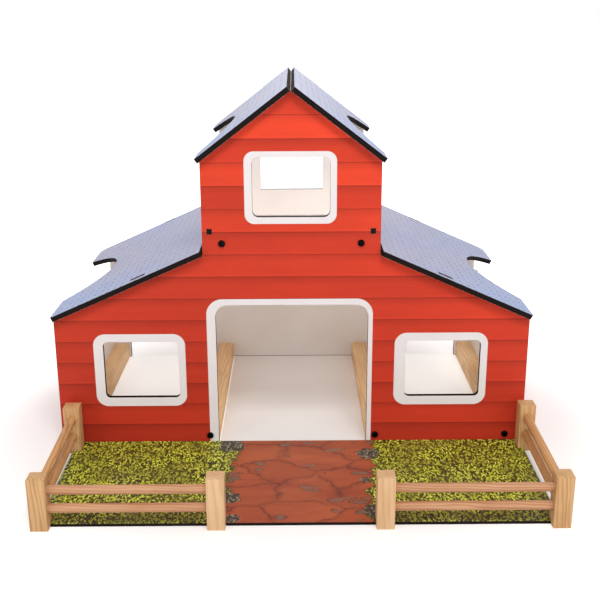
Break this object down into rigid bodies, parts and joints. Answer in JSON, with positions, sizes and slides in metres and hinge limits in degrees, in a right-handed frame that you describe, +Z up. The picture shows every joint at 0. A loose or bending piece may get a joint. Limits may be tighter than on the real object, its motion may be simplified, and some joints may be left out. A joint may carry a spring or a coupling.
{
  "type": "toy barn",
  "caption": "Toy barn of flat boards with a raised middle, window openings, lift-off roof panels and a fenced yard in front.",
  "frame": {"origin": "middle of the whole part's footprint, on the ground", "axes": "+Z up, +X to the right as seen from the front, +Y from the front towards the back"},
  "size_m": [0.5602, 0.5022, 0.42],
  "materials": {
    "red_board": "satin print on fibreboard",
    "white_board": "satin white facing",
    "roof_board": "satin print on fibreboard",
    "grass_board": "satin print on hardboard",
    "pine": "bare sanded",
    "black_bolt": "satin black"
  },
  "bodies": {
    "barn": {"front_wall": "red_board", "rear_wall": "red_board", "side_wall_left": "red_board", "side_wall_right": "red_board", "tower_wall_left": "red_board", "tower_wall_right": "red_board", "floor_beam_outer_left": "pine", "floor_beam_inner_left": "pine", "floor_beam_inner_right": "pine", "floor_beam_outer_right": "pine", "loft_beam_left": "pine", "loft_beam_right": "pine", "loft_shelf": "white_board", "front_bolts": "black_bolt", "rear_bolts": "black_bolt"},
    "lower_roof_left": {"lower_roof_left": "roof_board"},
    "lower_roof_right": {"lower_roof_right": "roof_board"},
    "upper_roof_left": {"upper_roof_left": "roof_board"},
    "upper_roof_right": {"upper_roof_right": "roof_board"},
    "yard": {"yard_board": "grass_board", "post_corner_left": "pine", "post_corner_right": "pine", "post_gate_left": "pine", "post_gate_right": "pine", "post_rear_left": "pine", "post_rear_right": "pine", "rail_front_left_low": "pine", "rail_front_left_up": "pine", "rail_front_right_low": "pine", "rail_front_right_up": "pine", "rail_side_left_low": "pine", "rail_side_left_up": "pine", "rail_side_right_low": "pine", "rail_side_right_up": "pine"}
  },
  "joints": [
    {"name": "lower_roof_left_lift", "type": "slide", "parent": "barn", "child": "lower_roof_left", "axis": [-0.4051, 0, 0.9143], "range_m": [0, 0.08]},
    {"name": "lower_roof_right_lift", "type": "slide", "parent": "barn", "child": "lower_roof_right", "axis": [0.4051, 0, 0.9143], "range_m": [0, 0.08]},
    {"name": "upper_roof_left_lift", "type": "slide", "parent": "barn", "child": "upper_roof_left", "axis": [-0.606, 0, 0.7955], "range_m": [0, 0.08]},
    {"name": "upper_roof_right_lift", "type": "slide", "parent": "barn", "child": "upper_roof_right", "axis": [0.606, 0, 0.7955], "range_m": [0, 0.08]},
    {"name": "yard_pull", "type": "slide", "parent": "barn", "child": "yard", "axis": [0, -1, 0], "range_m": [0, 0.12]}
  ]
}
